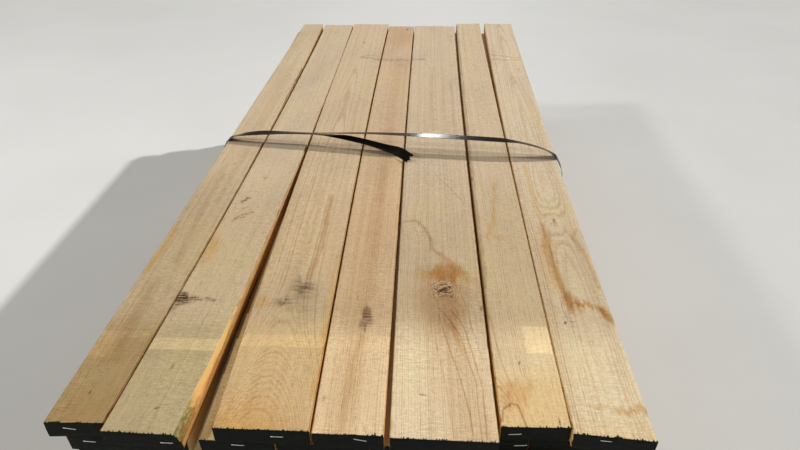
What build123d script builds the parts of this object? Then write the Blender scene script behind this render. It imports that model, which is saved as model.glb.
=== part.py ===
from build123d import *

import math
import os
from collections import namedtuple

# A stack of sawn oak boards on three bearers, with one slack steel strap round it.
# Millimetres, +Z up. The boards run along Y, and their near ends are at -Y. The origin is
# on the floor, under the middle of the stack.

# Boards
board_thickness = 40.0
board_length = 2440.0
stack_width = 1063.0
lower_layers = 12
side_by_side_gap = 4.0

# Top layer, from left to right. Widths and gaps are given at the near end, the middle and
# the far end of the stack, because the boards aren't quite straight. The gap is the one to
# the board on the left. near_out and far_out say how far the left and right corners of an
# end stand out past the nominal length. The last board takes up the rest of the width.
TopBoard = namedtuple("TopBoard", "widths gaps near_out far_out")
top_boards = [
    TopBoard((110.5, 119.5, 93.5), (0.0, 0.0, 0.0), (5.5, 2.5), (-6.5, -5.5)),
    TopBoard((148.0, 141.5, 137.0), (2.5, 5.0, 16.0), (19.5, 23.5), (-16.5, -15.5)),
    TopBoard((178.0, 174.5, 172.5), (50.0, 6.0, 6.0), (5.5, 6.5), (1.5, -0.5)),
    TopBoard((130.0, 131.0, 122.5), (4.0, 5.0, 6.0), (10.5, 11.5), (-30.5, -32.5)),
    TopBoard((194.0, 194.5, 197.0), (10.0, 5.0, 5.0), (14.5, 17.5), (-24.5, -23.5)),
    TopBoard((126.0, 125.0, 117.0), (6.0, 8.0, 9.0), (-16.5, -18.5), (11.5, 23.5)),
    TopBoard(None, (2.0, 6.0, 24.0), (-6.5, 5.5), (21.5, 16.5)),
]
# How far the top layer's sides stand out past the stack's sides
left_side_out = (34.0, 0.0, -30.5)
right_side_out = (8.0, 0.0, 8.0)

# Waney corner, where the second board's top right edge follows the round of the log.
wane_board = 1
wane_width = 13.0
wane_depth = 24.0
wane_length = 400.0

# Second layer: its widths, the gaps to the left of each board and how far the near ends
# stand out. One gap is open, and the last board takes up the rest of the stack's width.
second_layer_widths = (108.0, 121.0, 139.0, 171.0, 127.0, 158.0)
second_layer_gaps = (0.0, 3.0, 19.0, 3.0, 4.0, 3.0, 4.0)
second_layer_near_out = (3.0, 14.0, 4.0, -2.0, 5.5, -17.0, -18.0)

# Widths of the other layers' boards, taken in turn and eased to fill the stack's width.
board_width_cycle = (118.0, 152.0, 97.0, 176.0, 134.0, 203.0, 126.0, 165.0, 109.0, 189.0, 143.0)
narrowest_board = 80.0
# How far a lower board's ends stand out past its nominal length, and how far a layer lies
# to the right. Both are taken in turn, and the bottom layer lies in the middle.
end_step_cycle = (3.0, -7.0, 8.5, -2.0, 5.5, -9.0, 1.0, -4.5, 7.0, -6.0, 9.0)
side_step_cycle = (0.0, 3.0, -5.0, 4.0, -1.5, 2.5, -3.5, 5.0, -2.0)
# Each layer starts this many places further on in a cycle than the layer above it.
width_start_count = 4
near_start_count = 3
far_start_count = 5

# Bearers, which lie across under the boards
bearer_height = 90.0
bearer_width = 90.0
bearer_overhang = 370.0
bearer_inset = 8.0
bearer_count = 3

# Steel strap. It crosses the left side of the stack farther back than the right side.
strap_width = 32.0
strap_thickness = 0.9
strap_seat_gap = 0.3
strap_lap_gap = 0.3
strap_y_left = -79.5
strap_y_right = -177.5
strap_kink_radius = 6.0
strap_bend_share = 0.45
strap_bottom_sag = 9.0
strap_side_bulge = 33.0

# The strap's rise over the boards, as the share of the way across and the height there
strap_arch = [(0.025, 15), (0.065, 27), (0.12, 33.5), (0.19, 37), (0.27, 39.5), (0.37, 47.5), (0.46, 53.5)]
strap_arch += [(0.56, 56), (0.65, 57), (0.75, 56), (0.84, 53.5), (0.89, 48), (0.935, 38.5), (0.975, 24.5)]
# The strap's bow off the sides, as a share of its bulge and a share of the way down
strap_side = [(0.8, 0.08), (1.0, 0.24), (0.92, 0.58), (0.5, 0.85)]
# The strap's sag under the boards, as the share of the way across and a share of the sag
strap_bottom = [(0.8, 0.75), (0.5, 1.0), (0.2, 0.7)]

# The strap's ends lap over the left part of the arch. The lower end drops clear of the lap
# at a share of the way across, turns towards the near end and comes down on the boards.
lap_start = 0.045
lap_points = 4
lap_end = 0.289
lap_drop = 5.5
tail_turn = 12.2
tail_reach = 306.0
tail_level_run = 24.0
tail_rise = [(0.2, -1.2), (0.42, -4.5), (0.62, -11.0), (0.8, -20.5), (0.92, -28.0)]

# Heights and widths that follow from the sizes above
boards_bottom = bearer_height
layer_count = lower_layers + 1
top_underside = boards_bottom + lower_layers * board_thickness
deck = top_underside + board_thickness
half_length = board_length / 2
half_width = stack_width / 2
bearer_spacing = (board_length - 2 * bearer_overhang) / (bearer_count - 1)


def top_board_edges():
    """Left and right edge of each top board, as x at the near end, the middle and the far end."""
    right = [-half_width - out for out in left_side_out]
    edges = []
    for board in top_boards:
        left = [x + gap for x, gap in zip(right, board.gaps)]
        if board.widths:
            right = [x + width for x, width in zip(left, board.widths)]
        else:
            right = [half_width + out for out in right_side_out]
        edges.append((left, right))
    return edges


def edge_x(stations, y):
    """An edge's x at y, on the curve through its three stations."""
    near, middle, far = stations
    share = y / half_length
    return middle + (far - near) / 2 * share + ((far + near) / 2 - middle) * share ** 2


def edge_curve(stations, y_near, y_far):
    """The three points that an edge's arc runs through, from its near to its far corner."""
    y_middle = (y_near + y_far) / 2
    return [(edge_x(stations, y), y) for y in (y_near, y_middle, y_far)]


def in_turn(cycle, place):
    """The cycle's value at a place, starting over after its end."""
    return cycle[place % len(cycle)]


def fill_widths(layer):
    """Widths of one lower layer's boards, which fill the stack's width with even gaps."""
    widths = []
    room = stack_width
    while room > narrowest_board:
        widths.append(in_turn(board_width_cycle, layer * width_start_count + len(widths)))
        room -= widths[-1] + side_by_side_gap
    used = stack_width - side_by_side_gap * (len(widths) - 1)
    return [width * used / sum(widths) for width in widths]


def strap_corner(corner, before, after):
    """The strap's vertex outside a board corner, far enough out for its kink to clear it."""
    run_in = (Vector(*corner) - Vector(*before)).normalized()
    run_out = (Vector(*after) - Vector(*corner)).normalized()
    turn = math.radians(run_in.get_angle(run_out))
    outward = (run_in - run_out).normalized()
    kink = strap_kink_radius * (1 / math.cos(turn / 2) - 1)
    away = (strap_seat_gap + strap_thickness / 2 + kink) / math.cos(turn / 2)
    place = Vector(*corner) + outward * away
    return (place.X, place.Y)


def bend_radii(points):
    """For each inner point, the largest bend that its two runs leave room for."""
    radii = []
    for before, here, after in zip(points, points[1:], points[2:]):
        run_in = Vector(*here) - Vector(*before)
        run_out = Vector(*after) - Vector(*here)
        turn = math.radians(run_in.get_angle(run_out))
        radii.append(strap_bend_share * min(run_in.length, run_out.length) / math.tan(turn / 2))
    return radii


os.makedirs("parts", exist_ok=True)
edges = top_board_edges()

# Top boards
for index, (board, (left, right)) in enumerate(zip(top_boards, edges)):
    near_left, near_right = (-half_length - out for out in board.near_out)
    far_left, far_right = (half_length + out for out in board.far_out)
    left_curve = edge_curve(left, near_left, far_left)
    right_curve = edge_curve(right, near_right, far_right)
    with BuildPart() as top_board:
        with BuildSketch(Plane.XY.offset(top_underside)):
            with BuildLine():
                ThreePointArc(*left_curve)
                Line(left_curve[-1], right_curve[-1])
                ThreePointArc(*right_curve)
                Line(right_curve[0], left_curve[0])
            make_face()
        extrude(amount=board_thickness)
        if index == wane_board:
            # One sloping cut, deepest at the near end, that runs out along the edge
            corner_x, corner_y = right_curve[0]
            runout_y = corner_y + wane_length
            top_inset = Vector(corner_x - wane_width, corner_y, deck)
            side_drop = Vector(corner_x, corner_y, deck - wane_depth)
            runout = Vector(edge_x(right, runout_y), runout_y, deck)
            inward = (runout - top_inset).cross(side_drop - top_inset)
            split(bisect_by=Plane(top_inset, z_dir=inward), keep=Keep.TOP)
    name = f"top_board_{index + 1}"
    top_board.part.label = name
    export_step(top_board.part, f"parts/{name}.step")

# Lower layers, counted from the second layer down
for layer in range(lower_layers):
    if layer == 0:
        gaps = second_layer_gaps
        widths = [*second_layer_widths, stack_width - sum(second_layer_widths) - sum(gaps)]
    else:
        widths = fill_widths(layer)
        gaps = [0, *[side_by_side_gap] * (len(widths) - 1)]
    z_middle = top_underside - (layer + 0.5) * board_thickness
    layers_below = lower_layers - 1 - layer
    x = -half_width + in_turn(side_step_cycle, layers_below)
    with BuildPart() as layer_boards:
        for place, (width, gap) in enumerate(zip(widths, gaps)):
            x += gap
            if layer == 0:
                near_step = second_layer_near_out[place]
            else:
                near_step = in_turn(end_step_cycle, place + layer * near_start_count)
            far_step = in_turn(end_step_cycle, layer * far_start_count - place)
            length = board_length + near_step + far_step
            with Locations((x + width / 2, (far_step - near_step) / 2, z_middle)):
                Box(width, length, board_thickness)
            x += width
    name = f"layer_{layer + 1:02d}"
    layer_boards.part.label = name
    export_step(layer_boards.part, f"parts/{name}.step")

# Bearers, from the near end to the far end
for place in range(bearer_count):
    y = (place - (bearer_count - 1) / 2) * bearer_spacing
    with BuildPart() as bearer:
        with Locations((0, y, bearer_height / 2)):
            Box(stack_width - 2 * bearer_inset, bearer_width, bearer_height)
    name = f"bearer_{place + 1}"
    bearer.part.label = name
    export_step(bearer.part, f"parts/{name}.step")

# Strap. Its plane stands upright through the two top corners that it bends over. In that
# plane the left corner is the origin, the first number runs across and the second up.
left_x = edge_x(edges[0][0], strap_y_left)
right_x = edge_x(edges[-1][1], strap_y_right)
across = Vector(right_x - left_x, strap_y_right - strap_y_left, 0)
span = across.length
boards_height = deck - boards_bottom


def upright_plane(origin, level):
    """A plane that stands upright, with its first direction level."""
    return Plane(origin, x_dir=level, z_dir=(level.Y, -level.X, 0))


def seat(stations, y, outermost):
    """How far across an edge stands out under the strap, which crosses it at a slant."""
    beside = (y - strap_width / 2, y + strap_width / 2)
    points = [Vector(edge_x(stations, side), side, deck) for side in beside]
    return outermost(strap_plane.to_local_coords(point).X for point in points)


strap_plane = upright_plane((left_x, strap_y_left, deck), across)
arch = [(share * span, rise) for share, rise in strap_arch]
right_side = [(span + out * strap_side_bulge, -down * boards_height) for out, down in strap_side]
left_side = [(-out * strap_side_bulge, -down * boards_height) for out, down in reversed(strap_side)]
bottom = [(share * span, -boards_height - sag * strap_bottom_sag) for share, sag in strap_bottom]

left_top = strap_corner((seat(edges[0][0], strap_y_left, min), 0), left_side[-1], arch[0])
right_top = strap_corner((seat(edges[-1][1], strap_y_right, max), 0), arch[-1], right_side[0])
right_seat = seat([half_width] * 3, strap_y_right, max)
right_bottom = strap_corner((right_seat, -boards_height), right_side[-1], bottom[0])
left_seat = seat([-half_width] * 3, strap_y_left, min)
left_bottom = strap_corner((left_seat, -boards_height), bottom[-1], left_side[0])
corners = (left_top, right_top, right_bottom, left_bottom)

loop = [left_top, *arch, right_top, *right_side, right_bottom, *bottom, left_bottom, *left_side]
loop_radii = bend_radii([loop[-1], *loop, loop[0]])
loop_radii = [strap_kink_radius if point in corners else bend for point, bend in zip(loop, loop_radii)]

# The upper end starts partway up the first slope of the arch. After the whole loop, the
# lower end passes the left corner and lies under the upper one up to where it drops clear.
lap = strap_thickness + strap_lap_gap
upper_end = (lap_start * span, (arch[0][1] + arch[1][1]) / 2)
lower_lap = [(place, rise - lap) for place, rise in arch[:lap_points]]
clear_height = arch[lap_points][1] - lap_drop
drop_point = (arch[lap_points][0], clear_height)
lower_end = (lap_end * span, clear_height)
strap_path = [upper_end, *loop[2:], left_top, *lower_lap, drop_point, lower_end]
strap_radii = [*loop_radii[2:], strap_kink_radius]
strap_radii += bend_radii([left_top, *lower_lap, drop_point, lower_end])

# The tail's plane is upright too, turned from the strap's plane about the lower end.
tail_start = strap_plane.from_local_coords((*lower_end, 0))
tail_plane = upright_plane(tail_start, across.rotate(Axis.Z, -tail_turn))
tail_fall = strap_seat_gap + strap_thickness / 2 - clear_height
tail_path = [(-strap_thickness, 0), (tail_level_run, 0)]
tail_path += [(share * tail_reach, rise) for share, rise in tail_rise]
tail_path += [(tail_reach, tail_fall)]
tail_radii = bend_radii(tail_path)

with BuildPart() as strap:
    with BuildSketch(strap_plane):
        with BuildLine():
            FilletPolyline(*strap_path, radius=strap_radii)
        trace(line_width=strap_thickness)
    extrude(amount=strap_width / 2, both=True)
    with BuildSketch(tail_plane):
        with BuildLine():
            FilletPolyline(*tail_path, radius=tail_radii)
        trace(line_width=strap_thickness)
    extrude(amount=strap_width / 2, both=True)
strap.part.label = "strap"
export_step(strap.part, "parts/strap.step")
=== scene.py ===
# A stack of sawn oak boards on three bearers, with one slack steel strap round it.
# Metres, +Z up. The boards run along Y, and their near ends are at -Y. The origin is on the
# floor, under the middle of the stack. Tables of places and sizes are in millimetres.
import math
from collections import namedtuple
from functools import partialmethod

import bpy
import numpy as np
from mathutils import Matrix, Vector, noise


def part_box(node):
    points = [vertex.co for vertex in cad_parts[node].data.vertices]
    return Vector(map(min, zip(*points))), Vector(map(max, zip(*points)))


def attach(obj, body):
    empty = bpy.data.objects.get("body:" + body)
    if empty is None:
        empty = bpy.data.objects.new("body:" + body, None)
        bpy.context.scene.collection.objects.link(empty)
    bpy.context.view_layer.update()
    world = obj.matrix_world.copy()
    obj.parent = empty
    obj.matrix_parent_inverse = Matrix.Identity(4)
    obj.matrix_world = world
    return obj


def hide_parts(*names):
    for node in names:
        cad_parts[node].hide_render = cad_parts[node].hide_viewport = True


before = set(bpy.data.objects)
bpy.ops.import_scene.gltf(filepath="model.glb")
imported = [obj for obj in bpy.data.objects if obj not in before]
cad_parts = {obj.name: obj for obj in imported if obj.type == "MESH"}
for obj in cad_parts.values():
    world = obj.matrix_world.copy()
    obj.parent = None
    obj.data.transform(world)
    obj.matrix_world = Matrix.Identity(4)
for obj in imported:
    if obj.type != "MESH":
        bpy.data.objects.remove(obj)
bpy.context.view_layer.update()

MM = 0.001
DECK = 0.610
LAYERS = 12
scene = bpy.context.scene
dice = np.random.default_rng(11)


# Node trees written as arithmetic

class Wire:
    """One output of a node. Arithmetic on it adds math nodes to its tree."""

    def __init__(self, tree, socket):
        self.tree = tree
        self.socket = socket

    def math(self, operation, *others):
        node = self.tree.nodes.new("ShaderNodeMath")
        node.operation = operation
        for place, value in enumerate((self, *others)):
            plug(self.tree, node.inputs[place], value)
        return Wire(self.tree, node.outputs[0])

    __add__ = __radd__ = partialmethod(math, "ADD")
    __sub__ = partialmethod(math, "SUBTRACT")
    __mul__ = partialmethod(math, "MULTIPLY")
    __truediv__ = partialmethod(math, "DIVIDE")
    __pow__ = partialmethod(math, "POWER")

    def __rsub__(self, other):
        return self.math("MULTIPLY", -1.0).math("ADD", other)


def plug(tree, socket, value):
    """Links a wire to a socket, or sets the socket to a plain value."""
    if isinstance(value, Wire):
        tree.links.new(value.socket, socket)
    else:
        socket.default_value = value


def srgb(red, green, blue):
    """A colour as it looks on a screen, 0 to 255, turned into linear light with alpha."""
    shares = [value / 255 for value in (red, green, blue)]
    linear = [s / 12.92 if s <= 0.04045 else ((s + 0.055) / 1.055) ** 2.4 for s in shares]
    return (*linear, 1.0)


class Paint:
    """A material on the standard shader. Its colour is painted on in steps."""

    def __init__(self, name, constants):
        self.colour = None
        self.material = bpy.data.materials.new(name)
        self.material.use_nodes = True
        self.tree = self.material.node_tree
        self.shader = self.tree.nodes["Principled BSDF"]
        for socket, value in constants.items():
            self.shader.inputs[socket].default_value = value

    def node(self, kind, *values, output=0, **settings):
        node = self.tree.nodes.new("ShaderNode" + kind)
        for key, value in settings.items():
            setattr(node, key, value)
        for socket, value in zip(node.inputs, values):
            if value is not None:
                plug(self.tree, socket, value)
        return Wire(self.tree, node.outputs[output])

    def place(self):
        """Where a point is in the part's frame."""
        return self.node("TexCoord", output=3)

    def attribute(self, name, output=1):
        return self.node("Attribute", attribute_name=name, output=output)

    def split(self, vector):
        node = self.node("SeparateXYZ", vector).socket.node
        return [Wire(self.tree, socket) for socket in node.outputs]

    def join(self, x, y, z):
        return self.node("CombineXYZ", x, y, z)

    def vector(self, operation, first, second=None, output=0):
        return self.node("VectorMath", first, second, operation=operation, output=output)

    def noise(self, vector, lumps, detail=2):
        """Noise from 0 to 1, with so many lumps to the metre along each axis."""
        return self.node("TexNoise", self.vector("MULTIPLY", vector, lumps), None, 1.0, detail)

    def noise_along(self, value, lumps, detail=1):
        """Noise from 0 to 1 that follows one value."""
        return self.node("TexNoise", None, value * lumps, 1.0, detail, noise_dimensions="1D")

    def ease(self, value, low, high):
        """A smooth step from 0 at low to 1 at high, where low may be the larger one."""
        return self.node("MapRange", value, low, high, interpolation_type="SMOOTHSTEP")

    def mix(self, share, first, second):
        return self.node("Mix", share, *[None] * 5, first, second, output=2, data_type="RGBA")

    def cover(self, share, colour):
        """Lays a share of another colour over the paint's own."""
        self.colour = self.mix(share, self.colour, colour)

    def tint(self, share, tint):
        """Filters the paint's colour by a share of a tint."""
        self.colour = self.node("Mix", share, *[None] * 5, self.colour, (*tint, 1.0), output=2,
                                data_type="RGBA", blend_type="MULTIPLY")

    def scaled(self, vector, factor):
        return self.node("VectorMath", vector, None, None, factor, operation="SCALE")

    def line(self, place, points, width, soft):
        """1 on the line through the points, falling to 0 outside its width."""
        nearest = None
        for start, end in zip(points, points[1:]):
            start, end = Vector((*start, 0)) * MM, Vector((*end, 0)) * MM
            run = end - start
            offset = self.vector("SUBTRACT", place, start)
            share = self.vector("DOT_PRODUCT", offset, run / run.length_squared, output=1)
            share = share.math("MAXIMUM", 0.0).math("MINIMUM", 1.0)
            along = self.vector("MULTIPLY", self.join(share, share, share), run)
            away = self.vector("DISTANCE", offset, along, output=1)
            nearest = away if nearest is None else nearest.math("MINIMUM", away)
        return self.ease(nearest, width * MM / 2 * (1 + soft), width * MM / 2 * (1 - soft))

    def band(self, place, left, right, near, far, soft):
        """1 inside a rectangle, falling to 0 over a soft edge on both sides of its outline."""
        x, y, _ = self.split(place)
        across = (x - (left + right) / 2 * MM).math("ABSOLUTE") - (right - left) / 2 * MM
        along = (y - (near + far) / 2 * MM).math("ABSOLUTE") - (far - near) / 2 * MM
        return self.ease(across.math("MAXIMUM", along), soft * MM, -soft * MM)

    def oval(self, place, x, y, across, along, turn=0):
        """A place as seen from the middle of an oval, in shares of its half sizes."""
        offset = self.vector("SUBTRACT", place, (x * MM, y * MM, 0))
        turned = self.node("VectorRotate", offset, None, (0, 0, 1), math.radians(-turn))
        return self.vector("MULTIPLY", turned, (1 / (across * MM), 1 / (along * MM), 0))

    def blot(self, place, x, y, across, along, soft, turn):
        """1 inside an oval, falling to 0 outside it."""
        shares = self.oval(place, x, y, across, along, turn)
        return self.ease(self.vector("LENGTH", shares, output=1), 1 + soft, 1 - soft)

    def finish(self, roughness, height, depth):
        bump = self.node("Bump", 1.0, depth, None, height)
        plug(self.tree, self.shader.inputs["Base Color"], self.colour)
        plug(self.tree, self.shader.inputs["Roughness"], roughness)
        plug(self.tree, self.shader.inputs["Normal"], bump)
        return self.material


# Oak

# Filters for stains, marks, painted light and painted shade, as shares of red, green and blue that they let
# through
RUST = (0.74, 0.50, 0.22)
BROWN = (0.74, 0.60, 0.45)
HEART = (0.84, 0.75, 0.66)
HONEY = (0.97, 0.80, 0.52)
MOSS = (0.93, 0.97, 0.87)
GREY = (0.62, 0.60, 0.58)
SOOT = (0.20, 0.15, 0.10)
PALE = (1.26, 1.24, 1.20)
# Painted light on the floor of the widest gap
GAP_FLOOR_LIGHT = (0.95, 1.30, 1.70)
# Darkens the boards' nearer part
NEARER_PART_DARKER = (0.93, 0.91, 0.84)
PORE = (0.62, 0.52, 0.42)
STAIN = (0.62, 0.42, 0.25)
# Painted shade along the top boards' rims beside the gaps
GAP_RIM_SHADE = (0.52, 0.40, 0.26)
SHADE = (0.50, 0.42, 0.36)
# Painted light on the lower layers' upward faces and their sides in the gaps
LAYER_PAINTED_LIGHT = (1.22, 1.14, 1.00)
# Painted shade on the top boards' sides in the gaps
GAP_SIDE_SHADE = (1.05, 0.90, 0.60)
# Painted shade on the floor of the widest gap
GAP_FLOOR_SHADE = (0.30, 0.17, 0.07)
# The waney board's side in the gap: a honey tint standing for light at its top, painted shade at its foot
WANE_SIDE_LIGHT = (0.98, 0.84, 0.62)
WANE_SIDE_FOOT_SHADE = (0.90, 0.58, 0.32)

# A mark on a board is a blot, a line or a band of one filter
Blot = namedtuple("Blot", "tint share x y across along soft turn", defaults=(0.6, 0))
Line = namedtuple("Line", "tint share points width soft", defaults=(0.8,))
Band = namedtuple("Band", "tint share left right near far soft")
# Marks of this size and larger have the most ragged outline
RAGGED_SIZE = 20
# A bulge lifts or dips the growth rings round a place
Bulge = namedtuple("Bulge", "lift x y across along")
# A top board's colour, the filter that paints light and shade on its near end, its rings and its marks
Look = namedtuple("Look", "tone near_end pith ring contrast bulges marks")

# Sides within this distance of the stack's middle line are those in gaps
INNER_HALF = 500 * MM
# Sealer where it is thick and thin, and how far it laps over on to a face at least
SEALER = srgb(7, 10, 5)
SEALER_THIN = srgb(26, 32, 20)
SEALER_LEAST = 0.3 * MM
SEALER_LEAST_BELOW = 2.5 * MM


def oak(name, look, other_tone=None, knot=None, wane=None):
    """Rough sawn oak. The mesh's grain attribute is measured from the log's pith, and its
    to_end and to_side attributes from the board's nearer end and side. With another tone, the
    tint attribute says where between the two tones a board is."""
    paint = Paint(name, {"Specular IOR Level": 0.12})
    ease, tint = paint.ease, paint.tint
    place = paint.place()
    x, y, z = paint.split(place)
    grain = paint.attribute("grain")
    grain_x, grain_y, grain_z = paint.split(grain)
    to_end, to_side = paint.attribute("to_end", output=2), paint.attribute("to_side", output=2)
    flat = paint.vector("MULTIPLY", place, (1, 1, 0))
    ruffle = paint.noise(place, (55, 24, 55), 3) - 0.5
    fray = paint.noise(grain, (150, 7, 150), 3) - 0.5
    unrest = paint.join(ruffle * 0.024, fray * 0.04 - ruffle * 0.05, 0)

    # Growth rings, as distance from a pith that wanders a little
    wander = paint.noise(grain, (5, 0.8, 5), 1) - 0.5
    dip = paint.noise(paint.vector("ADD", grain, (0, 3.7, 0)), (4, 1.3, 4), 1) - 0.5
    shiver = paint.noise(grain, (90, 7, 90)) - 0.5
    pith_x, pith_z = grain_x + wander * 0.016, grain_z + dip * 0.02
    radius = (pith_x * pith_x + pith_z * pith_z) ** 0.5 + grain_y * 0.006 + shiver * 0.0024
    for bulge in look.bulges:
        shares = paint.oval(flat, *bulge[1:])
        near = paint.vector("DOT_PRODUCT", shares, shares, output=1) * -1
        radius = radius + near.math("EXPONENT") * (bulge.lift * MM)
    rings = radius / (look.ring * MM) + paint.noise_along(radius, 42, 2) * 3
    turn = rings.math("FRACT")
    line = ease(turn, 0, 0.12) * ease(turn, 0.7, 0.16)
    strong = ease(paint.noise_along(rings, 0.45), 0.3, 0.7) * 0.8 + 0.2
    patchy = paint.noise(grain, (16, 2.2, 16)) + 0.35
    line = line * strong * patchy

    # Wood colour
    if other_tone:
        paint.colour = paint.mix(paint.attribute("tint", output=2), srgb(*look.tone), srgb(*other_tone))
    else:
        paint.colour = srgb(*look.tone)
        # Darkens the nearer part of each board, from a little before its middle
        tint(ease(y + ruffle * 0.2, -0.22, -0.62), NEARER_PART_DARKER)
        # Painted light on the near ends of the third to seventh boards, painted shade on the first two
        tint(ease(y + ruffle * 0.05, -0.9, -1.03), look.near_end)
    streak = ease(paint.noise(grain, (42, 0.8, 42), 3), 0.5, 0.74)
    tint(streak * 0.4, HEART)
    cloud = paint.noise(place, (8, 3.5, 8), 4)
    tint(ease(cloud, 0.48, 0.72) * 0.8, MOSS)
    tint(line * (0.8 * look.contrast), BROWN)
    ridges = ease(paint.noise(place, (34, 290, 60)), 0.38, 0.56) * 0.7 + 0.3
    streaky = ease(fray, -0.16, 0.1)
    for mark in look.marks:
        if isinstance(mark, Band):
            shape = paint.band(flat, *mark[2:])
        else:
            is_line = isinstance(mark, Line)
            size = mark.width if is_line else min(mark.across, mark.along) * 2
            moved = paint.vector("ADD", flat, paint.scaled(unrest, min(size / RAGGED_SIZE, 1)))
            shape = (paint.line if is_line else paint.blot)(moved, *mark[2:])
            grainy = 0.2 if size > 2 * RAGGED_SIZE else 0.5
            shape = shape * (ridges if mark.tint in (GREY, SOOT) else streaky * grainy + (1 - grainy))
        tint(shape * mark.share, mark.tint)

    # Pores, saw marks across the board and loose fibres
    pores = ease(paint.noise(grain, (640, 36, 640)), 0.56, 0.7)
    tint(pores * (line * 0.6 + 0.34), PORE)
    patch = ease(paint.noise(place, (9, 5, 9), 1), 0.35, 0.65)
    sway = paint.noise(place, (5, 1.5, 5), 1) * 0.03
    saw = paint.noise_along(grain_y + sway, 230, 2) - 0.5
    nick = paint.noise(place, (75, 320, 75), 3) - 0.5
    speck = paint.noise(place, (480, 300, 480), 3) - 0.5
    columns = paint.noise(grain, (280, 3, 280)) - 0.5
    fibre = ease(paint.noise(place, (260, 62, 260)), 0.62, 0.78)
    across = saw * (patch * 0.1 + 0.06) + nick * (patch * 0.44 + 0.3)
    tone = cloud * 0.34 - 0.17 + columns * 0.16
    brightness = 1 + across + tone + speck * 0.56 + fibre * 0.06
    paint.colour = paint.scaled(paint.colour, brightness)
    height = (saw + nick) * (patch * 0.6 + 0.4) + speck * 0.9 + fibre * 0.4 - line * 0.35 - pores * 0.4

    if knot:
        height = height - knot_on(paint, flat, *knot)
    if wane:
        wane_on(paint, place, *wane)

    # Painted shade, brown, along the top boards' rims and on their sides in the gaps, and painted
    # light on the lower layers' tops and gap sides. The waney board's right side is honey, painted light, at
    # its top and brown, painted shade, at its foot.
    facing, _, upward = paint.split(paint.node("TexCoord", output=1))
    on_side = ease(facing.math("ABSOLUTE"), 0.5, 0.8)
    inside = ease(x.math("ABSOLUTE"), INNER_HALF + 10 * MM, INNER_HALF)
    in_gap = on_side * inside
    if other_tone:
        # Painted light on the lower layers' upward faces
        tint(ease(upward, 0.5, 0.8), LAYER_PAINTED_LIGHT)
    else:
        frays = paint.noise(place, (30, 22, 30), 4)
        # Painted shade along the top faces' rims beside the gaps
        rim_shade = ease(to_side, frays * 0.004 + 0.0004, frays * 0.0015) * (1 - on_side)
        tint(rim_shade * inside, GAP_RIM_SHADE)
    if wane:
        # Painted light on the upper part of the waney side in the gap, painted shade at its foot
        foot = ease(z + ruffle * 0.02, DECK - 9 * MM, DECK - 14 * MM)
        tint(in_gap * (1 - foot), WANE_SIDE_LIGHT)
        tint(in_gap * foot, WANE_SIDE_FOOT_SHADE)
    else:
        # Painted light on the lower layers' sides in the gaps, painted shade on the top boards' sides there
        tint(in_gap, LAYER_PAINTED_LIGHT if other_tone else GAP_SIDE_SHADE)

    # Sealer on the board's ends, with a ragged edge where the brush passed them
    drip = paint.noise(place, (330, 8, 330), 3)
    run = paint.noise(place, (34, 6, 34))
    least = SEALER_LEAST_BELOW if other_tone else SEALER_LEAST
    reach = ease(drip, 0.46, 0.7) * 0.0048 + ease(run, 0.56, 0.72) * 0.003 + least
    sealed = ease(to_end, reach + 0.0005, reach - 0.0003)
    coat = paint.mix(ease(paint.noise(place, (75, 75, 190), 3), 0.52, 0.8), SEALER, SEALER_THIN)
    paint.cover(sealed, coat)
    return paint.finish(0.84 - sealed * 0.24, height, 0.0003)


def knot_on(paint, flat, x, y, across, along):
    """Paints a knot with cracks in it, its bark ring and the swirl round it, and gives their
    depth."""
    warp = paint.noise(flat, (60, 60, 60), 3) - 0.5
    away = paint.vector("LENGTH", paint.oval(flat, x, y, across, along), output=1) + warp * 1.1
    swirl = (away * 3.3).math("FRACT")
    swirl = paint.ease(swirl, 0, 0.15) * paint.ease(swirl, 0.75, 0.25) * paint.ease(away, 2.3, 0.9)
    paint.tint(swirl * 0.75, STAIN)
    eye = paint.ease(away, 1.1, 0.7)
    paint.tint(eye * 0.35, PALE)
    crack = paint.ease(paint.noise(flat, (95, 150, 95), 3), 0.5, 0.56)
    torn = paint.vector("ADD", flat, paint.join(warp * 0.008, warp * 0.012, 0))
    wedge = paint.blot(torn, x - across * 0.15, y, across * 0.62, along * 0.22, 0.4, 38)
    dark = (eye * crack * 0.85).math("MAXIMUM", wedge)
    paint.tint(dark, SOOT)
    return dark * 3 + swirl * 0.9


def wane_on(paint, place, origin, outward):
    """Paints the green-stained wane, which is what lies on its plane."""
    out = paint.vector("DOT_PRODUCT", paint.vector("SUBTRACT", place, origin), outward, output=1)
    _, y, _ = paint.split(place)
    on_wane = paint.ease(out, -0.0016, -0.0009)
    mottle = paint.ease(paint.noise(place, (190, 90, 190), 4), 0.4, 0.66)
    stain = paint.mix(mottle, srgb(120, 121, 82), srgb(156, 148, 103))
    stain = paint.mix(paint.ease(y + mottle * 0.02, -1.2, -1.12), stain, srgb(226, 197, 143))
    paint.cover(on_wane, stain)


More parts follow.
